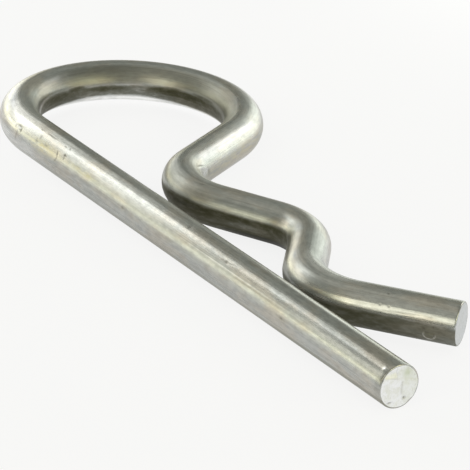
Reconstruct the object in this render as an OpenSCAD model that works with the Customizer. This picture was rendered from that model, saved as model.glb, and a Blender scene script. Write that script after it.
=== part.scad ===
// R-shaped hitch pin clip bent from one length of round spring wire.
// The straight leg slides through the cross-hole of a pin and the curved leg springs shut around it.
// The clip lies flat with its centre line in the XY plane. The origin is where the axis of the held
// pin crosses the axis of the straight leg. +X points to the leg's free end, +Y to the curved leg
// and +Z along the held pin.

/* [Wire] */
// Diameter of the round wire
wire_d = 4; // [3:0.1:5]
// Bevel around both cut ends
end_bevel = 0.2; // [0.1:0.05:0.6]

/* [Straight leg] */
// Length from the start of the bow to the free end
leg_l = 62; // [50:1:90]

/* [Bow] */
// Radius of the finger bow, to the middle of the wire
bow_r = 11; // [9:0.25:14]
// Slope of the neck that leads down from the bow
neck_slope = 59; // [45:1:70]

/* [Pin seat] */
// Diameter of the pin that the clip holds without being sprung open
pin_d = 15; // [13:0.5:17]
// Play between the pin and each of the two slopes that it sits under
seat_play = 0.15; // [0:0.05:1]
// Slope of the wire that rises from the heel to the crest
rise_slope = 27; // [22:1:32]
// Slope of the wire that falls from the crest to the toe
fall_slope = 38; // [32:1:44]
// Bend radius of the crest, to the middle of the wire
crest_r = 6; // [4:0.25:8]

/* [Heel and toe] */
// Gap between the heel bend and the straight leg
heel_gap = 2.1; // [1:0.1:3]
// Bend radius of the heel, to the middle of the wire
heel_r = 7; // [4:0.25:8]
// Gap between the toe bend and the straight leg
toe_gap = 0.9; // [0.2:0.1:1.2]
// Bend radius of the toe, to the middle of the wire
toe_r = 7; // [4:0.25:8]

/* [Lead-in tip] */
// Slope of the flared tip
tip_slope = 38; // [20:1:45]
// Length of the straight part of the flared tip
tip_l = 9.2; // [5:0.1:15]

/* [Hidden] */
$fn = 72;

wire_r = wire_d / 2;

// How far each bend turns the wire. The bow brings it from the leg's direction round to the neck's.
bow_turn = 180 + neck_slope;
heel_turn = neck_slope + rise_slope;
crest_turn = rise_slope + fall_slope;
toe_turn = fall_slope + tip_slope;

// The two slopes over the pin pass this far from its axis, and the crest rounds the corner where
// they meet. crest_dx is how far its middle lies beyond the pin's axis.
slope_off = pin_d / 2 + seat_play + wire_r;
crest_dx = (slope_off - crest_r) * (cos(rise_slope) - cos(fall_slope)) / sin(crest_turn);
crest_dy = (slope_off - crest_r) * (sin(rise_slope) + sin(fall_slope)) / sin(crest_turn);

// Heights of the wire's middle above the leg's axis, where the wire runs level
heel_y = wire_d + heel_gap;
crest_y = crest_dy + crest_r;
toe_y = wire_d + toe_gap;

// How far a bend lifts or drops the wire between level and a slope
function bend_dy(r, slope) = r * (1 - cos(slope));

// Straight stretches between the bends, from the height that each one has left to cover
bow_end_y = bow_r * (1 + cos(neck_slope));
neck_l = (bow_end_y - heel_y - bend_dy(heel_r, neck_slope)) / sin(neck_slope);
rise_l = (crest_y - heel_y - bend_dy(heel_r, rise_slope) - bend_dy(crest_r, rise_slope))
    / sin(rise_slope);
fall_l = (crest_y - toe_y - bend_dy(crest_r, fall_slope) - bend_dy(toe_r, fall_slope))
    / sin(fall_slope);

// Distance along X from the start of the bow to the pin's axis
pin_x = (bow_r + heel_r) * sin(neck_slope) + neck_l * cos(neck_slope)
    + (heel_r + crest_r) * sin(rise_slope) + rise_l * cos(rise_slope) - crest_dx;

// The wire is drawn with this many millimetres as 1 and enlarged once as a whole, so that rounding
// in the turns stays far below the fit of one stretch of wire against the next.
unit = 100;

// One straight length of wire along +X. What follows it starts at its far end.
module straight(l) {
    rotate([0, 90, 0]) cylinder(h = l / unit, r = wire_r / unit);
    translate([l / unit, 0, 0]) children();
}

// One bend to the left from +X. What follows it starts at its far end, in the new direction.
module left_bend(r, turn) {
    translate([0, r / unit, 0]) {
        rotate([0, 0, -90])
            rotate_extrude(angle = turn) translate([r / unit, 0]) circle(r = wire_r / unit);
        rotate([0, 0, turn]) translate([0, -r / unit, 0]) children();
    }
}

// The same bend to the right
module right_bend(r, turn) {
    mirror([0, 1, 0]) left_bend(r, turn) mirror([0, 1, 0]) children();
}

// The bevelled last bit of a cut end
module cut_end() {
    rotate([0, 90, 0])
        cylinder(h = end_bevel / unit, r1 = wire_r / unit, r2 = (wire_r - end_bevel) / unit);
}

// From the start of the bow, the straight leg runs out along +X, and the bow and the curved leg
// set off the other way.
module wire_clip() {
    color("darkgray") translate([-pin_x, 0, 0]) scale(unit) {
        straight(leg_l - end_bevel) cut_end();
        rotate([0, 0, 180])
            right_bend(bow_r, bow_turn)
            straight(neck_l)
            left_bend(heel_r, heel_turn)
            straight(rise_l)
            right_bend(crest_r, crest_turn)
            straight(fall_l)
            left_bend(toe_r, toe_turn)
            straight(tip_l - end_bevel)
            cut_end();
    }
}

wire_clip();
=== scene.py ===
"""Looks of the hitch pin clip: one length of bright drawn spring wire with sheared ends."""

import math

import bpy
import numpy as np
from mathutils import Matrix, Vector


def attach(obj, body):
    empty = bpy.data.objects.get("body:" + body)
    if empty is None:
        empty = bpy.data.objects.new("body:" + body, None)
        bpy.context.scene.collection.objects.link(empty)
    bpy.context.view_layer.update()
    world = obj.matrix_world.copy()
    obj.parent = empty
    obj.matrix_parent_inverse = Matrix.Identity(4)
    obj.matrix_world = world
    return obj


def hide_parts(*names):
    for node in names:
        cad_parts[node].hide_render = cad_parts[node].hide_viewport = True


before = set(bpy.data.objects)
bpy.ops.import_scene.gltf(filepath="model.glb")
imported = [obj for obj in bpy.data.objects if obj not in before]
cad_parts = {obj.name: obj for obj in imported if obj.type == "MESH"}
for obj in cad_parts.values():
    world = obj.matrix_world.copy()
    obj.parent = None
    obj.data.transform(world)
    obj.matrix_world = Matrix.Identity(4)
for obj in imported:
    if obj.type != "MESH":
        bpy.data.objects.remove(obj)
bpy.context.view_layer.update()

MM = 0.001

# ---- Sizes of the clip in millimetres and degrees, as in its CAD source ----
WIRE_D = 4.0
LEG_L = 62.0
BOW_R = 11.0
NECK_SLOPE = 59.0
PIN_D = 15.0
SEAT_PLAY = 0.15
RISE_SLOPE = 27.0
FALL_SLOPE = 38.0
CREST_R = 6.0
HEEL_GAP = 2.1
HEEL_R = 7.0
TOE_GAP = 0.9
TOE_R = 7.0
TIP_SLOPE = 38.0
TIP_L = 9.2

WIRE_R = WIRE_D / 2

# ---- Mesh of the wire, in millimetres ----
SEGMENTS = 144  # round the wire
PLAIN_STEP = 0.6  # between rings along plain wire
WORN_STEP = 0.1  # between rings along worn wire
WORN = (
    (0.0, 2.0), (14.5, 15.3), (23.2, 25.1), (30.8, 31.2), (31.8, 32.4), (41.4, 42.0),
    (52.0, 63.2), (116.2, 120.2), (124.6, 125.8), (155.0, 162.6),
)  # from the leg's free end
END_STEP = 0.45  # from each end to the first ring of the wire's side
EDGE_RINGS = 5  # over the edge of a cut end
FACE_RINGS = 22  # across a cut face

# Angles of the points of a ring: 0 outside the leg, 90 on top, 180 inside and 270 below
PHI = np.arange(SEGMENTS) * math.tau / SEGMENTS
PHI_DEG = np.degrees(PHI)


def drop(radius, slope):
    """How far a bend lifts or drops the wire between level and a slope."""
    return radius * (1 - math.cos(slope))


def wire_path():
    """The start of the wire's middle line and its stretches, from the straight leg's free end.

    A stretch is (length, turn) in millimetres and radians, and a turn to the right is negative."""
    neck, rise, fall, tip = (math.radians(a) for a in (NECK_SLOPE, RISE_SLOPE, FALL_SLOPE, TIP_SLOPE))
    slope_off = PIN_D / 2 + SEAT_PLAY + WIRE_R
    crest_dx = (slope_off - CREST_R) * (math.cos(rise) - math.cos(fall)) / math.sin(rise + fall)
    crest_dy = (slope_off - CREST_R) * (math.sin(rise) + math.sin(fall)) / math.sin(rise + fall)
    heel_y, crest_y, toe_y = WIRE_D + HEEL_GAP, crest_dy + CREST_R, WIRE_D + TOE_GAP
    bow_end_y = BOW_R * (1 + math.cos(neck))
    neck_l = (bow_end_y - heel_y - drop(HEEL_R, neck)) / math.sin(neck)
    rise_l = (crest_y - heel_y - drop(HEEL_R, rise) - drop(CREST_R, rise)) / math.sin(rise)
    fall_l = (crest_y - toe_y - drop(CREST_R, fall) - drop(TOE_R, fall)) / math.sin(fall)
    pin_x = (
        (BOW_R + HEEL_R) * math.sin(neck)
        + neck_l * math.cos(neck)
        + (HEEL_R + CREST_R) * math.sin(rise)
        + rise_l * math.cos(rise)
        - crest_dx
    )
    stretches = [
        (LEG_L, 0.0),
        (BOW_R * (math.pi + neck), -(math.pi + neck)),
        (neck_l, 0.0),
        (HEEL_R * (neck + rise), neck + rise),
        (rise_l, 0.0),
        (CREST_R * (rise + fall), -(rise + fall)),
        (fall_l, 0.0),
        (TOE_R * (fall + tip), fall + tip),
        (TIP_L, 0.0),
    ]
    return (LEG_L - pin_x, 0.0), stretches


LEG_END, STRETCHES = wire_path()
WIRE_L = sum(length for length, _ in STRETCHES)


def places(along):
    """Middle of the wire (x, y) and its heading, at distances along it from the leg's free end."""
    x, y, heading = *LEG_END, math.pi
    at, begin = np.zeros((len(along), 3)), 0.0
    for length, turn in STRETCHES:
        here = (along >= begin - 1e-9) & (along <= begin + length + 1e-9)
        u = along[here] - begin
        if turn:
            curve = turn / length
            now = heading + curve * u
            px = x + (np.sin(now) - math.sin(heading)) / curve
            py = y - (np.cos(now) - math.cos(heading)) / curve
            x += (math.sin(heading + turn) - math.sin(heading)) / curve
            y -= (math.cos(heading + turn) - math.cos(heading)) / curve
            heading += turn
        else:
            now = np.full(len(u), heading)
            px, py = x + u * math.cos(heading), y + u * math.sin(heading)
            x, y = x + length * math.cos(heading), y + length * math.sin(heading)
        at[here] = np.c_[px, py, now]
        begin += length
    return at


def smooth(value, low, high):
    """0 below low and 1 above high, with a soft ramp between."""
    t = np.clip((value - low) / (high - low), 0, 1)
    return t * t * (3 - 2 * t)


def turned_from(angle, middle):
    """How far an angle is turned from another, from -180 to 180 degrees."""
    return (angle - middle + 180) % 360 - 180


def offsets(along, round_deg, s0, phi0):
    """How far points of the wire's side lie from a place on it, along and round (mm)."""
    return along - s0, np.radians(turned_from(round_deg, phi0)) * WIRE_R


# ---- Marks on the wire ----
# A dent: place along the wire (mm), place round it (degrees, 0 outside the leg, 90 on top), half
# length, half width and depth (mm, below 0 where it stands out), how dark it is and how far it is
# turned (degrees)
DENTS = (
    (61.9, 38, 0.42, 0.12, 0.05, 0.75, 0),
    (61.4, 30, 0.11, 0.24, 0.04, 0.65, 0),
    (62.45, 33, 0.10, 0.16, 0.03, 0.45, 0),
    (61.9, 27, 0.16, 0.14, -0.03, 0.0, 0),
    (62.0, 10, 0.09, 0.46, 0.02, 0.45, 8),
    (60.1, 33, 0.30, 0.06, 0.02, 0.30, 0),
    (58.3, 30.5, 0.26, 0.14, 0.02, 0.40, 20),
    (58.0, 44, 0.15, 0.12, 0.02, 0.35, 60),
    (56.6, 34, 0.34, 0.10, 0.02, 0.40, 0),
    (56.9, 66, 0.80, 0.06, 0.03, 0.60, 0),
    (58.8, 66, 0.12, 0.08, 0.03, 0.45, 0),
    (54.1, 63, 0.17, 0.06, 0.03, 0.55, 0),
    (53.3, 63, 0.10, 0.08, 0.03, 0.50, 60),
    (53.2, 40.5, 0.17, 0.10, 0.05, 0.85, 0),
    (53.1, 32, 0.12, 0.10, 0.03, 0.45, 0),
    (50.4, 36, 0.30, 0.05, 0.02, 0.35, -3),
    (47.8, 38, 0.50, 0.05, 0.02, 0.30, 0),
    (14.9, 10.5, 0.25, 0.12, 0.02, 0.50, 0),
    (24.8, 48.5, 0.25, 0.10, 0.025, 0.60, 0),
    (24.0, 53, 0.60, 0.05, 0.015, 0.40, -14),
    (31.0, 30, 0.06, 0.20, -0.015, 0.0, 0),
    (32.1, 72, 0.18, 0.15, 0.02, 0.50, 0),
    (41.7, 11.5, 0.25, 0.12, 0.02, 0.50, 0),
    (30.6, 37.5, 6.0, 0.05, 0.004, 0.30, 0),
    (31.0, 42.5, 6.0, 0.05, 0.004, 0.22, 0),
    (21.0, 30, 6.0, 0.05, 0.004, 0.25, 0),
    (24.0, 35, 6.0, 0.05, -0.003, 0.0, 0),
    (125.2, 106, 0.35, 0.09, 0.02, 0.60, -7),
    (123.7, 112, 1.70, 0.05, 0.01, 0.35, -7),
    (130.0, 125, 3.0, 0.05, 0.004, 0.32, 0),
    (129.0, 137.5, 3.5, 0.05, 0.004, 0.25, 0),
    (131.0, 147.5, 3.0, 0.05, 0.004, 0.25, 0),
    (112.0, 97.5, 5.0, 0.05, 0.004, 0.25, 0),
    (78.0, 130, 6.0, 0.05, 0.004, 0.22, 0),
    (90.0, 120, 7.0, 0.05, 0.004, 0.22, 0),
    (96.0, 132.5, 5.0, 0.05, 0.004, 0.25, 0),
    (148.0, 112.5, 5.0, 0.05, 0.004, 0.25, 0),
    (155.0, 122.5, 4.0, 0.05, 0.004, 0.25, 0),
    (118.45, 39, 1.0, 0.07, 0.04, 0.75, 18),
    (119.15, 38.5, 0.85, 0.13, -0.04, 0.0, 18),
    (118.7, 27, 0.9, 0.10, 0.02, 0.30, 18),
    (116.6, 6, 0.20, 0.36, 0.025, 0.50, 0),
    (156.05, 113, 0.10, 0.09, 0.03, 0.65, 30),
    (156.5, 106, 0.30, 0.05, 0.02, 0.30, -20),
    (156.4, 147.5, 0.09, 0.07, 0.02, 0.80, 0),
    (155.6, 146, 0.08, 0.06, 0.03, 0.50, 0),
    (157.8, 157, 1.80, 0.05, 0.02, 0.45, -3.6),
    (160.2, 125.5, 1.60, 0.05, 0.015, 0.30, 0),
    (153.2, 128, 1.60, 0.05, 0.015, 0.25, -3),
    (160.25, 155, 0.30, 0.09, 0.02, 0.30, 0),
    (159.7, 185, 0.14, 0.10, 0.03, 0.85, 20),
    (160.65, 203, 0.06, 0.17, 0.04, 0.90, 0),
    (160.55, 178, 0.07, 0.07, 0.04, 0.80, 0),
    (0.55, 54, 0.22, 0.24, -0.035, 0.0, 0),
)
# A ring: place along and round, radius, half width of its line and depth (mm, below 0 where it stands
# out), and the part of it that shows (middle and half spread, degrees, 0 towards the leg's free end)
RINGS = (
    (54.85, 24, 0.58, 0.06, 0.03, 0, 60),
    (160.2, -157, 0.52, 0.06, -0.03, 80, 110),
)
RING_FADE = 15  # how far a ring fades to either side of the ends of that part (degrees)
RING_TONE = 0.6  # how dark a pressed ring is
# A raised ring is scraped bright and given a painted glint
RING_BARE_GLINT = 0.52  # how bare a raised ring is scraped
# Yellow tarnish: place along and round, half length (mm), half spread (degrees) and strength
TARNISH = (
    (57.0, 24, 2.4, 17, 1.0),
    (49.5, 30, 2.4, 6, 1.0),
    (109.0, 0, 9.0, 22, 0.7),
    (160.2, -160, 0.5, 12, 1.0),
)
# Painted shade on the lower inner side, where the wire reflects shadowed floor and its own parts: place
# along, where it begins and ends round the wire (degrees, 180 inside the leg, 270 below) and how strong
# it is
SHADE_RUN = (
    (0, 172, 200, 0.25),
    (60, 172, 205, 0.30),
    (68, 170, 214, 0.60),
    (71, 166, 226, 0.84),
    (74, 165, 226, 0.84),
    (80, 168, 219, 0.61),
    (86, 167, 217, 0.59),
    (93, 167, 229, 0.72),
    (100, 168, 216, 0.85),
    (106, 167, 222, 0.90),
    (118, 182, 246, 0.90),
    (121, 180, 246, 0.90),
    (124.5, 163, 250, 0.85),
    (131, 162, 256, 0.66),
    (137.2, 157, 256, 0.92),
    (138.8, 172, 256, 0.85),
    (143, 169, 250, 0.90),
    (150, 166, 246, 0.84),
    (155, 164, 246, 0.82),
    (158, 163, 246, 0.68),
    (163, 164, 246, 0.63),
)
SHADE_FADE = 24  # width of its soft edges (degrees)
# How satin the surface is: place along, and 0 as drawn, 1 as roughened by bending and more in the heel
SATIN_RUN = (
    (0, 0.1), (14, 0.2), (30, 0.4), (56, 0.5), (70, 1.0), (106, 1.0), (114, 0.8),
    (119, 0.9), (123, 1.6), (128, 1.1), (150, 0.9), (156, 0.4), (163, 0.4),
)
# Patches roughened more: where each begins and ends along the wire (mm) and round it (degrees), how
# much and how far its edge fades along the wire (mm)
SATIN_PATCHES = ((6, 50, 4, 44, 0.9, 6.0),)
# Painted shade as a thin grey film where the wire reflects shadowed floor or its own parts, mostly on
# its lower and inner sides, and a dull collar at the leg's sheared end: where it begins and ends along
# the wire (mm) and round it (degrees), how thick it is and how far its edge fades along the wire (mm)
FILM_SHADE_PATCHES = (
    (-10, 18, -120, -24, 0.85, 4.0),
    (14, 48, -120, -24, 0.66, 4.0),
    (44, 62, -120, -24, 0.55, 2.5),
    (-10, 58, -60, 18, 0.27, 6.0),
    (112, 124, -110, 6, 0.35, 3.0),
    (-3, 0.9, -90, 34, 0.42, 0.3),
    (60, 76, 112, 162, 0.24, 2.5),
    (70, 75, 112, 150, 0.50, 1.5),
    (76, 110, 112, 168, 0.66, 2.5),
    (134, 140, 104, 128, 0.22, 2.0),
    (138, 146, 154, 174, 0.60, 2.0),
    (153, 163, 72, 92, 0.32, 2.0),
    (114, 127, 108, 150, 0.30, 2.5),
)
# Painted shade made darkest, given the same way
DEEP_SHADE_PATCHES = (
    (88, 95, 176, 190, 0.50, 1.5),
    (89.5, 91.5, 168, 176, 0.30, 0.6),
    (77, 79, 168, 176, 0.28, 0.8),
    (93.5, 97, 165, 174, 0.26, 0.8),
    (80, 84, 180, 192, 0.24, 1.5),
    (108, 126, 158, 188, 0.42, 4.0),
    (121, 134, 168, 180, 0.38, 3.0),
    (128, 143, 207, 262, 0.74, 3.0),
    (153, 158, 212, 250, 0.20, 3.0),
)
# Painted highlights and reflections, metal brightened where light or the white floor shines in it,
# given the same way
PAINTED_HIGHLIGHTS = (
    (72, 104, -134, -60, 1.0, 2.5),
    (79, 89, -146, -60, 1.0, 2.5),
    (60, 66, 28, 96, 0.66, 3.0),
    (62.5, 67, 38, 88, 1.0, 1.5),
    (32, 50, 36, 76, 0.26, 7.0),
    (4, 48, 99, 118, 0.75, 7.0),
    (-3, 12, 34, 50, 0.35, 3.0),
    (52, 60, 64, 86, 0.22, 4.0),
    (66, 73, 14, 84, 0.70, 3.0),
    (58, 67, -70, 0, 0.30, 3.0),
    (63, 71, -24, 8, 0.60, 2.5),
    (63, 69, 140, 162, 0.45, 2.0),
    (88, 102, 44, 80, 0.80, 3.0),
    (145, 153, 76, 98, 0.80, 2.0),
    (103, 114, 50, 92, 0.38, 2.5),
    (102, 115, 20, 50, 0.30, 2.5),
    (114, 127, 58, 88, 0.40, 2.5),
    (132, 140, 58, 84, 0.30, 2.5),
    (141, 147, 132, 152, 0.45, 2.0),
    (118, 127, 8, 40, 0.65, 2.5),
    (133, 150, 0, 38, 0.30, 2.5),
    (76, 98, 60, 84, 0.35, 3.0),
    (98, 105, 8, 66, 0.22, 2.5),
)
PATCH_FADE = 9  # how far the edge of every patch fades round the wire, to either side (degrees)
# Where a raised mark is scraped bare, with a painted glint, this share of the painted shade is taken
# off and the painted highlight is this bright
RAISED_SHADE_LIFT = 0.6
RAISED_GLINT = 0.8


def wear_at(along, round_deg):
    """How far marks push the surface in (mm), and how dark, tarnished and scraped to bright metal with
    a painted glint it is there.
    """
    inward, dark, tarnish, bare_glint = (np.zeros_like(along) for _ in range(4))
    for s0, phi0, half_l, half_w, depth, tone, turn in DENTS:
        u, v = offsets(along, round_deg, s0, phi0)
        c, s = math.cos(math.radians(turn)), math.sin(math.radians(turn))
        spot = np.exp(-(((u * c + v * s) / half_l) ** 2) - ((v * c - u * s) / half_w) ** 2)
        inward += depth * spot
        dark = np.maximum(dark, tone * spot)
        if depth < 0:
            bare_glint = np.maximum(bare_glint, spot)
    for s0, phi0, radius, half_w, depth, middle, spread in RINGS:
        u, v = offsets(along, round_deg, s0, phi0)
        turned = np.abs(turned_from(np.degrees(np.arctan2(v, -u)), middle))
        shown = 1 - smooth(turned, spread - RING_FADE, spread + RING_FADE)
        line = np.exp(-(((np.hypot(u, v) - radius) / half_w) ** 2)) * shown
        inward += depth * line
        if depth < 0:
            bare_glint = np.maximum(bare_glint, RING_BARE_GLINT * line)
        else:
            dark = np.maximum(dark, RING_TONE * line)
    for s0, phi0, half_l, spread, strength in TARNISH:
        u = (along - s0) / half_l
        v = turned_from(round_deg, phi0) / spread
        tarnish = np.maximum(tarnish, strength * np.exp(-(u**2) - v**2))
    return inward, dark, tarnish, bare_glint


def patches_at(patches, along, round_deg):
    """How strong soft-edged patches, such as those of painted shade, are there."""
    strength = np.zeros_like(along)
    for s0, s1, phi0, phi1, most, fade in patches:
        off = np.abs(turned_from(round_deg, (phi0 + phi1) / 2))
        half = (phi1 - phi0) / 2
        across = 1 - smooth(off, half - PATCH_FADE, half + PATCH_FADE)
        inside = smooth(along, s0 - fade, s0 + fade) * (1 - smooth(along, s1 - fade, s1 + fade))
        strength = np.maximum(strength, most * across * inside)
    return strength


def painted_shade_at(along, round_deg):
    """How strong the painted shade is there, with wide soft edges that the material sharpens."""
    run = np.array(SHADE_RUN, dtype=float)
    begin, end, thick = (np.interp(along, run[:, 0], run[:, k]) for k in (1, 2, 3))
    inside = np.minimum(round_deg % 360 - begin, end - round_deg % 360)
    return thick * np.clip(0.5 + inside / SHADE_FADE, 0, 1) + patches_at(DEEP_SHADE_PATCHES, along, round_deg)


def satin_at(along, round_deg):
    """How satin the surface is there."""
    run = np.array(SATIN_RUN)
    return np.interp(along, run[:, 0], run[:, 1]) + patches_at(SATIN_PATCHES, along, round_deg)


# ---- Cut ends (mm, with y across and z up on the face) ----
EDGE = 0.15  # rounding of a cut edge
# Flats on a rim: middle and half spread (degrees), how far in and how far along
LEG_FLATS = ((74, 23, 0.20, 0.10), (-128, 12, 0.24, 0.16), (-160, 12, 0.20, 0.15))
TIP_FLATS = ((150, 14, 0.20, 0.15),)
FLAT_INNER, FLAT_OUTER = 10, 4  # how far a flat fades inside and outside its spread (degrees)
# Painted shade in the crease over the leg's rim, beside the burr: middle, where it begins to fade and
# where it ends (degrees to either side), and how dark it is
CREASE = 36
CREASE_FADE = (12, 18)
CREASE_SHADE = 0.38

# The fold across the leg's face: its height on the middle line, its slope and half width, where it
# fades across the face, and how deep the face steps and how steeply it falls away above it
FOLD_Z = 0.68
FOLD_SLOPE = -0.21
FOLD_W = 0.05
FOLD_FADE = (-0.3, 0.1)
FOLD_STEP = 0.02
FOLD_FALL = 0.05
# The bright bevel at the upper left, under the burr: where it begins, how high it is, its slope and
# where it fades across the face
BEVEL_Z = 0.86
BEVEL_H = 0.40
BEVEL_FALL = 0.28
BEVEL_FADE = (-0.30, -0.12)
# The seam that runs up the face: its place across, half width, depth, and where it fades in and out
SEAM_Y = 0.27
SEAM_W = 0.10
SEAM_DEPTH = 0.015
SEAM_FOOT = (-0.9, -0.6)
SEAM_HEAD = (0.35, 0.5)
# Two pits and a dull blot: place across and up, half width and half height, and how deep the pits are
ROUND_PIT = (0.57, -1.10, 0.15, 0.12)
ROUND_PIT_DEPTH = 0.08
LONG_PIT = (-0.90, -1.31, 0.24, 0.07)
LONG_PIT_DEPTH = 0.05
DULL_BLOT = (0.79, 1.15, 0.36, 0.34)
# The saw's waves on the curved leg's face: how deep, and how close together across and up
SAW_DEPTH = 0.012
SAW_WAVES = (9, 3)


def blot(y, z, place):
    """1 in the middle of a soft blot and 0 away from it."""
    y0, z0, half_w, half_h = place
    return np.exp(-(((y - y0) / half_w) ** 2) - ((z - z0) / half_h) ** 2)


def leg_face(y, z):
    """How far the leg's sheared face lies below its highest plane, how dark and how dull it is."""
    above = z - (FOLD_Z + FOLD_SLOPE * y)
    low = FOLD_FALL * np.maximum(above, 0) + FOLD_STEP * smooth(above, -0.04, 0.04)
    low = low + BEVEL_FALL * np.clip(z - BEVEL_Z, 0, BEVEL_H) * (1 - smooth(y, *BEVEL_FADE))
    seam = np.exp(-(((y - SEAM_Y) / SEAM_W) ** 2)) * smooth(z, *SEAM_FOOT) * (1 - smooth(z, *SEAM_HEAD))
    fold = np.exp(-((above / FOLD_W) ** 2)) * (1 - smooth(y, *FOLD_FADE))
    pit, long_pit = blot(y, z, ROUND_PIT), blot(y, z, LONG_PIT)
    low = low + SEAM_DEPTH * seam + ROUND_PIT_DEPTH * pit + LONG_PIT_DEPTH * long_pit
    dark = np.clip(0.20 * seam + 0.16 * fold + 0.65 * pit + 0.6 * long_pit, 0, 1)
    # Duller above the fold and to the right, and most in the blot at the upper right
    upper = 0.10 * smooth(above, -0.03, 0.06) * smooth(y, -0.3, 0.0)
    dull = 0.75 * blot(y, z, DULL_BLOT) + upper + 0.20 * smooth(y, -0.2, 0.7)
    return low, dark, dull


def tip_face(y, z):
    """The same for the curved leg's face, which is sawn flat and plain."""
    across, up = SAW_WAVES
    low = SAW_DEPTH * np.sin(across * y + up * z) + SAW_DEPTH
    return low, np.zeros_like(y), np.zeros_like(y)


def end_rings(flats, face, crease_shading):
    """Rings from the wire's side over its edge to the middle of a cut face.

    Each ring gives its distance from the end, radius, darkness and dullness at every segment, and
    whether it lies on the face."""
    inset, setback = np.full(SEGMENTS, EDGE), np.full(SEGMENTS, EDGE)
    for middle, spread, deep, long in flats:
        off = np.abs(turned_from(PHI_DEG, middle))
        part = 1 - smooth(off, spread - FLAT_INNER, spread + FLAT_OUTER)
        inset, setback = inset + (deep - EDGE) * part, setback + (long - EDGE) * part
    # Painted shade along the crease over the rim
    crease = crease_shading * (1 - smooth(np.abs(turned_from(PHI_DEG, CREASE)), *CREASE_FADE))
    rings = []
    for t in np.linspace(0, 1, EDGE_RINGS + 1)[:-1] * math.pi / 2:
        radius = WIRE_R - inset * (1 - math.cos(t))
        rings.append((setback * (1 - math.sin(t)), radius, crease, np.zeros(SEGMENTS), 0.0))
    for k in range(FACE_RINGS):
        radius = (WIRE_R - inset) * (1 - k / FACE_RINGS)
        low, dark, dull = face(-radius * np.cos(PHI), radius * np.sin(PHI))
        rings.append((low, radius, dark, dull, 1.0))
    return rings


def stations():
    """Places of the plain rings along the wire, closer together where it is worn."""
    at = [END_STEP]
    while at[-1] < WIRE_L - END_STEP:
        worn = any(low <= at[-1] <= high for low, high in WORN)
        at.append(at[-1] + (WORN_STEP if worn else PLAIN_STEP))
    at[-1] = WIRE_L - END_STEP
    return at


def wire_rings():
    """All rings of the wire, as arrays: distance along it, radius, darkness, dullness and cut face."""
    plain, full = np.zeros(SEGMENTS), np.full(SEGMENTS, WIRE_R)
    rings = list(reversed(end_rings(LEG_FLATS, leg_face, CREASE_SHADE)))
    rings += [(np.full(SEGMENTS, s), full, plain, plain, 0.0) for s in stations()]
    rings += [(WIRE_L - low, *rest) for low, *rest in end_rings(TIP_FLATS, tip_face, 0.0)]
    along, radius, dark, dull = (np.array([ring[k] for ring in rings]) for k in range(4))
    cut = np.array([ring[4] for ring in rings])[:, None] * np.ones(SEGMENTS)
    return along, radius, dark, dull, cut


def ring_faces(count):
    """Four-sided faces between the rings, and a fan to the middle point of each cut face."""
    n = count * SEGMENTS
    i = np.arange(count - 1)[:, None] * SEGMENTS
    j = np.arange(SEGMENTS)[None]
    k = (j + 1) % SEGMENTS
    quads = np.stack([i + j, i + SEGMENTS + j, i + SEGMENTS + k, i + k], -1).reshape(-1, 4)
    faces = quads.tolist()
    for q in range(SEGMENTS):
        faces.append([n, q, (q + 1) % SEGMENTS])
        faces.append([n + 1, n - SEGMENTS + (q + 1) % SEGMENTS, n - SEGMENTS + q])
    return faces


def store(mesh, name, value, ends=(0, 0)):
    """Keep a value at every point, with its values at the middles of the two cut faces last."""
    vector = value.ndim == 3
    flat = np.append(value.ravel(), np.ravel(ends)).astype(np.float32)
    attribute = mesh.attributes.new(name, "FLOAT_VECTOR" if vector else "FLOAT", "POINT")
    attribute.data.foreach_set("vector" if vector else "value", flat)


def wire_mesh():
    """The wire's mesh, with what the materials need to know stored at every point."""
    along, radius, dark, dull, cut = wire_rings()
    round_deg = PHI_DEG[None] * np.ones_like(along)
    inward, marks, tarnish, bare_glint = wear_at(along, round_deg)
    side = 1 - cut
    radius = radius - inward * side

    at = places(along.ravel()).reshape(*along.shape, 3)
    level = np.zeros(along.shape)
    left = np.stack([-np.sin(at[..., 2]), np.cos(at[..., 2]), level], -1)
    up = np.array([0.0, 0.0, 1.0])
    cos, sin = np.cos(PHI)[None, :, None], np.sin(PHI)[None, :, None]
    middle = np.stack([at[..., 0], at[..., 1], level], -1)
    verts = middle + radius[..., None] * (cos * left + sin * up)
    # The middles of the two cut faces close the mesh.
    points = np.vstack([verts.reshape(-1, 3), verts[0].mean(0), verts[-1].mean(0)])
    mesh = bpy.data.meshes.new("wire")
    mesh.from_pydata((points * MM).tolist(), [], ring_faces(len(along)))

    # Place on the wire as if it were straight, and the direction round it
    straight = np.stack([radius * np.cos(PHI), radius * np.sin(PHI), along], -1)
    store(mesh, "straight", straight, ((0, 0, 0), (0, 0, WIRE_L)))
    store(mesh, "turn", cos * up - sin * left, ((0, 0, 1), (0, 0, 1)))
    store(mesh, "dark", np.maximum(dark, marks * side))
    store(mesh, "dull", dull)
    store(mesh, "tarnish", tarnish * side)
    # Painted shade on the lower inner side, partly taken off where raised marks glint
    store(mesh, "painted_shade", painted_shade_at(along, round_deg) * side * (1 - RAISED_SHADE_LIFT * bare_glint))
    store(mesh, "satin", satin_at(along, round_deg) * side)
    # Painted shade as a grey film
    store(mesh, "film_shade", patches_at(FILM_SHADE_PATCHES, along, round_deg) * side)
    # Painted highlights and reflections, with painted glints on raised marks
    painted_highlight = np.maximum(patches_at(PAINTED_HIGHLIGHTS, along, round_deg), RAISED_GLINT * bare_glint)
    store(mesh, "painted_highlight", painted_highlight * side)

    # The faces of the cut ends take the second material.
    on_cut = ((cut[:-1] + cut[1:]) == 2).ravel().tolist() + [True] * (2 * SEGMENTS)
    mesh.polygons.foreach_set("material_index", np.array(on_cut, dtype=np.int32))
    mesh.validate()
    mesh.shade_smooth()
    return mesh


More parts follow.
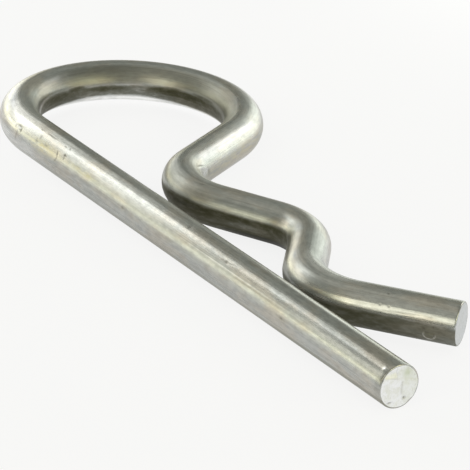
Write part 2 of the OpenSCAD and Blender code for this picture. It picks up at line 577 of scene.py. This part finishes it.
def add_wire():
    wire = bpy.data.objects.new("spring_wire", wire_mesh())
    bpy.context.scene.collection.objects.link(wire)
    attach(wire, "root")
    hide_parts("wire_clip")
    return wire


def toward(azimuth, elevation):
    """Direction from azimuth (from +X towards +Y) and elevation, in degrees."""
    azimuth, elevation = math.radians(azimuth), math.radians(elevation)
    level = math.cos(elevation)
    return Vector((level * math.cos(azimuth), level * math.sin(azimuth), math.sin(elevation)))


# ---- Camera, as it stood for the photograph ----
CAMERA_AZIMUTH = -33.52  # degrees
CAMERA_ELEVATION = 22.87
CAMERA_ROLL = 3.48
CAMERA_DISTANCE = 290.26  # mm
CAMERA_REACH = 32.714  # mm, from the leg's free end back to the middle of the picture
CAMERA_TARGET = (LEG_END[0] - CAMERA_REACH, 4.637, 0.0)  # mm
CAMERA_SENSOR = 36  # mm
CAMERA_LENS = 245.46  # mm
CAMERA_CLIP = (0.01, 10)  # m


def add_camera():
    data = bpy.data.cameras.new("camera")
    data.sensor_width = CAMERA_SENSOR
    data.lens = CAMERA_LENS
    data.clip_start, data.clip_end = CAMERA_CLIP
    camera = bpy.data.objects.new("camera", data)
    bpy.context.scene.collection.objects.link(camera)
    bpy.context.scene.camera = camera
    back = toward(CAMERA_AZIMUTH, CAMERA_ELEVATION)
    right = (-back).cross(Vector((0, 0, 1))).normalized()
    up = right.cross(-back)
    turned = Matrix((right, up, back)).transposed()
    turned = turned @ Matrix.Rotation(math.radians(CAMERA_ROLL), 3, "Z")
    place = Vector([value * MM for value in CAMERA_TARGET]) + CAMERA_DISTANCE * MM * back
    camera.matrix_world = Matrix.Translation(place) @ turned.to_4x4()


class Nodes:
    """Short names for building one material's nodes."""

    def __init__(self, name):
        self.material = bpy.data.materials.new(name)
        self.material.use_nodes = True
        self.tree = self.material.node_tree
        self.shader = self.tree.nodes["Principled BSDF"]

    def add(self, kind, inputs=None, **settings):
        node = self.tree.nodes.new(kind)
        for key, value in settings.items():
            setattr(node, key, value)
        for key, value in (inputs or {}).items():
            self.put(node.inputs[key], value)
        return node

    def put(self, socket, value):
        if isinstance(value, bpy.types.NodeSocket):
            self.tree.links.new(value, socket)
        else:
            socket.default_value = value

    def math(self, operation, first, second=0.0, clamp=False):
        node = self.add("ShaderNodeMath", {0: first, 1: second}, operation=operation, use_clamp=clamp)
        return node.outputs[0]

    def weighted(self, *terms):
        """Sum of values, each times its weight."""
        total, *rest = (self.math("MULTIPLY", value, weight) for value, weight in terms)
        for term in rest:
            total = self.math("ADD", total, term)
        return total

    def mix(self, factor, first, second):
        return self.add("ShaderNodeMix", {0: factor, 6: first, 7: second}, data_type="RGBA").outputs[2]

    def ramp(self, value, low, high, first=0.0, second=1.0):
        """A value between low and high, brought softly to between first and second."""
        inputs = {"Value": value, "From Min": low, "From Max": high, "To Min": first, "To Max": second}
        return self.add("ShaderNodeMapRange", inputs, interpolation_type="SMOOTHSTEP").outputs[0]

    def noise(self, vector, scale, detail, roughness):
        mapped = self.add("ShaderNodeMapping", {"Vector": vector, "Scale": scale}).outputs[0]
        inputs = {"Vector": mapped, "Scale": 1.0, "Detail": detail, "Roughness": roughness}
        return self.add("ShaderNodeTexNoise", inputs).outputs[0]

    def attribute(self, name, output="Fac"):
        return self.add("ShaderNodeAttribute", attribute_name=name).outputs[output]

    def bump(self, height, depth, strength):
        """Relief whose full height is a depth in millimetres."""
        inputs = {"Height": height, "Distance": depth * MM, "Strength": strength}
        self.put(self.shader.inputs["Normal"], self.add("ShaderNodeBump", inputs).outputs[0])


# ---- Colours of the steel, as linear reflectance ----
STEEL = (0.508, 0.522, 0.510, 1)
STEEL_WARM = (0.540, 0.516, 0.468, 1)
# Painted shade as a grey film
FILM_SHADE_TONE = (0.240, 0.235, 0.190, 1)
# Painted highlight: the tone of brightened metal
PAINTED_HIGHLIGHT_TONE = (0.97, 0.97, 0.96, 1)
# Painted shade, and its darkest patches
SHADE_COLOUR = (0.062, 0.060, 0.033, 1)
DEEP_SHADE_COLOUR = (0.021, 0.020, 0.010, 1)
PIT = (0.10, 0.09, 0.07, 1)
YELLOW = (0.52, 0.49, 0.36, 1)
CUT_STEEL = (0.92, 0.93, 0.95, 1)
CUT_CLOUDED = (0.82, 0.83, 0.78, 1)
CUT_PITTED = (0.45, 0.45, 0.43, 1)
CUT_DULL = (0.66, 0.70, 0.57, 1)
SAWN_STEEL = (0.60, 0.62, 0.63, 1)

# ---- Grain of the steel: how fine it is in three directions, the last along the wire (per mm), and
# its detail and roughness ----
FINE_LINES = ((6.5, 6.5, 0.08), 2.0, 0.6)
BROAD_LINES = ((1.5, 1.5, 0.04), 2.0, 0.5)
CLOUD = ((0.5, 0.5, 0.16), 3.0, 0.6)
FLECK = ((3.6, 3.6, 0.9), 3.0, 0.68)
MOTTLE = ((2.4, 2.4, 1.1), 3.0, 0.62)
CUT_CLOUD = ((1.3, 1.3, 1.3), 3.0, 0.6)
CUT_GRAIN = ((7.0, 4.5, 5.0), 3.0, 0.65)

# Relief of the two surfaces: depth (mm) and strength
DRAWN_RELIEF = (0.02, 0.6)
CUT_RELIEF = (0.04, 0.5)


def drawn_steel():
    """Bright drawn wire: die lines along it, painted shade on its lower inner side, painted highlights,
    tarnish and pits.
    """
    n = Nodes("drawn_steel")
    straight = n.attribute("straight", "Vector")
    grains = (FINE_LINES, BROAD_LINES, CLOUD, FLECK, MOTTLE)
    fine, broad, cloud, fleck, mottle = (n.noise(straight, *grain) for grain in grains)

    # Painted shade lies in a band with a ragged edge.
    painted_shade = n.attribute("painted_shade")
    ragged = n.math("SUBTRACT", n.weighted((broad, 0.5), (fleck, 0.6)), 0.55)
    band = n.ramp(n.weighted((painted_shade, 1.0), (ragged, 0.9)), 0.32, 0.62)
    band = n.math("MULTIPLY", band, n.ramp(painted_shade, 0.05, 0.9))
    band = n.math("MULTIPLY", band, n.ramp(mottle, 0.35, 0.75, 1.0, 0.88))
    deepest_shade = n.ramp(painted_shade, 0.98, 1.5)

    # Bare metal, clouded, greyed by painted shade or brightened by painted highlights, with its die
    # lines lighter and darker
    film_shade = n.math("MULTIPLY", n.attribute("film_shade"), n.ramp(mottle, 0.30, 0.70, 0.86, 1.03), clamp=True)
    tone = n.mix(n.ramp(cloud, 0.42, 0.62), STEEL, STEEL_WARM)
    tone = n.mix(film_shade, tone, FILM_SHADE_TONE)
    # Painted highlights brighten the metal where light or the white floor would shine in it
    tone = n.mix(n.attribute("painted_highlight"), tone, PAINTED_HIGHLIGHT_TONE)
    lines = n.weighted((fine, 0.25), (broad, 0.20), (mottle, 0.30), (fleck, 0.25))
    lines = n.ramp(lines, 0.41, 0.59, 0.83, 1.09)
    lines = n.add("ShaderNodeCombineXYZ", {0: lines, 1: lines, 2: lines}).outputs[0]
    colour = n.add("ShaderNodeVectorMath", {0: tone, 1: lines}, operation="MULTIPLY").outputs[0]

    # Tarnish, painted shade and pits over it
    patch = n.math("MULTIPLY", n.attribute("tarnish"), n.ramp(fleck, 0.35, 0.60), clamp=True)
    spot = n.math("MULTIPLY", n.attribute("dark"), n.ramp(fleck, 0.25, 0.5, 0.4, 1.0))
    for share, over in ((patch, YELLOW), (band, SHADE_COLOUR), (spot, PIT), (deepest_shade, DEEP_SHADE_COLOUR)):
        colour = n.mix(share, colour, over)
    n.put(n.shader.inputs["Base Color"], colour)

    # Where shade is painted the surface shines less like metal; tarnish, film, painted shade and pits
    # make it rougher than the bare wire.
    metal = n.math("MULTIPLY", n.ramp(band, 0.0, 1.0, 1.0, 0.40), n.ramp(deepest_shade, 0.0, 1.0, 1.0, 0.3))
    n.put(n.shader.inputs["Metallic"], metal)
    rough = n.weighted(
        (n.ramp(broad, 0.3, 0.7, 0.18, 0.23), 1.0),
        (patch, 0.10),
        (n.attribute("satin"), 0.09),
        (film_shade, 0.16),
        (band, 0.22),
        (spot, 0.25),
    )
    n.put(n.shader.inputs["Roughness"], rough)
    n.shader.inputs["Anisotropic"].default_value = 0.2
    n.shader.inputs["Specular IOR Level"].default_value = 0.2
    n.shader.inputs["Specular Tint"].default_value = (0.78, 0.78, 0.76, 1)
    n.put(n.shader.inputs["Tangent"], n.attribute("turn", "Vector"))
    n.bump(n.weighted((fine, 0.45), (broad, 1.0), (fleck, 0.22), (mottle, 0.38)), *DRAWN_RELIEF)
    return n.material


def cut_steel():
    """The cut faces: bright torn metal, clouded and finely pitted, and duller where it is sawn."""
    n = Nodes("cut_steel")
    straight = n.attribute("straight", "Vector")
    cloud, grain = n.noise(straight, *CUT_CLOUD), n.noise(straight, *CUT_GRAIN)
    colour = n.mix(n.ramp(cloud, 0.35, 0.7), CUT_STEEL, CUT_CLOUDED)
    colour = n.mix(n.ramp(grain, 0.5, 0.8, 0.0, 0.30), colour, CUT_PITTED)
    colour = n.mix(n.attribute("dull"), colour, CUT_DULL)
    # The curved leg's face lies far along the wire.
    along = n.add("ShaderNodeSeparateXYZ", {0: straight}).outputs[2]
    colour = n.mix(n.ramp(along, 50.0, 60.0, 0.0, 0.80), colour, SAWN_STEEL)
    n.put(n.shader.inputs["Base Color"], n.mix(n.attribute("dark"), colour, PIT))
    n.shader.inputs["Metallic"].default_value = 1.0
    n.put(n.shader.inputs["Roughness"], n.ramp(grain, 0.3, 0.7, 0.38, 0.55))
    n.bump(grain, *CUT_RELIEF)
    return n.material


# ---- Floor and light ----
FLOOR_SIZE = 6.0  # m
FLOOR_PAINT = (0.92, 0.92, 0.92, 1)
FLOOR_WHITE = (1, 1, 1, 1)
FLOOR_GLOW = 0.85  # share of its white that the floor shows whatever falls on it
# A lamp, which faces the pin's seat: azimuth and elevation, width and height as seen from there
# (degrees), distance (m), strength and tint
LAMPS = (
    ("left_middle", -169, 33.7, 17, 19, 1.0, 1.33, (1.0, 1.0, 0.95)),
    ("left_low", -160, 5.3, 89, 14.5, 1.0, 1.55, (1.0, 0.97, 0.75)),
    ("left_streak", -149.5, 19.5, 26, 15, 1.0, 0.76, (1.0, 0.97, 0.84)),
    ("left_back", 168, 7.6, 15, 22, 0.44, 0.64, (0.76, 0.80, 1.0)),
    ("left_near", -174, 26.7, 45, 18, 0.14, 0.64, (1.0, 0.99, 0.93)),
    ("back", 104, 27.5, 19, 22.5, 0.82, 1.61, (1.0, 0.97, 0.95)),
    ("back_low", 109.4, 16, 49.5, 27.5, 0.43, 0.53, (0.92, 1.0, 0.91)),
    ("back_near", 104.7, 7, 58.5, 18, 0.08, 0.84, (0.97, 1.0, 0.93)),
    ("right", 26, 19.5, 52, 19, 0.55, 1.62, (1.0, 0.95, 0.60)),
    ("front", -66, 25, 34.5, 28, 1.0, 1.50, (1.0, 0.95, 0.78)),
    ("front_left", -80, 22, 26.5, 27, 0.20, 0.97, (1.0, 0.96, 0.66)),
    ("front_edge", -111.7, 20, 18, 5, 0.70, 1.02, (1.0, 0.87, 0.40)),
    ("top", -120, 73.5, 74, 32, 0.58, 0.20, (1.0, 0.91, 0.77)),
)
SKY = (0.33, 0.34, 0.30)  # linear colour of the light from all around


def add_floor():
    half = FLOOR_SIZE / 2
    mesh = bpy.data.meshes.new("floor")
    corners = [(-half, -half), (half, -half), (half, half), (-half, half)]
    mesh.from_pydata([(x, y, -WIRE_R * MM) for x, y in corners], [], [(0, 1, 2, 3)])
    floor = bpy.data.objects.new("floor", mesh)
    bpy.context.scene.collection.objects.link(floor)
    n = Nodes("pale_floor")
    ray = n.add("ShaderNodeLightPath").outputs
    seen = n.math("MAXIMUM", ray["Is Camera Ray"], ray["Is Glossy Ray"])
    seen = n.math("MAXIMUM", seen, ray["Is Transmission Ray"])
    paint = n.add("ShaderNodeBsdfDiffuse", {"Color": FLOOR_PAINT}).outputs[0]
    white = n.add("ShaderNodeEmission", {"Color": FLOOR_WHITE, "Strength": 1.0}).outputs[0]
    both = n.add("ShaderNodeMixShader", {0: n.math("MULTIPLY", seen, FLOOR_GLOW), 1: paint, 2: white})
    n.put(n.tree.nodes["Material Output"].inputs["Surface"], both.outputs[0])
    mesh.materials.append(n.material)


def add_lamps():
    for name, azimuth, elevation, width, height, distance, strength, tint in LAMPS:
        away = toward(azimuth, elevation)
        data = bpy.data.lights.new(name, "AREA")
        data.shape = "RECTANGLE"
        data.size = 2 * distance * math.tan(math.radians(width / 2))
        data.size_y = 2 * distance * math.tan(math.radians(height / 2))
        data.energy = math.pi * data.size * data.size_y * strength
        data.color = tint
        lamp = bpy.data.objects.new(name, data)
        lamp.location = away * distance
        lamp.rotation_euler = away.to_track_quat("Z", "Y").to_euler()
        lamp.visible_camera = False
        bpy.context.scene.collection.objects.link(lamp)


def add_sky():
    world = bpy.data.worlds.new("sky")
    bpy.context.scene.world = world
    world.use_nodes = True
    background = world.node_tree.nodes["Background"]
    background.inputs["Color"].default_value = (*SKY, 1)
    background.inputs["Strength"].default_value = 1.0


add_camera()
wire = add_wire()
wire.data.materials.append(drawn_steel())
wire.data.materials.append(cut_steel())
add_floor()
add_lamps()
add_sky()
bpy.context.scene.view_settings.view_transform = "Standard"
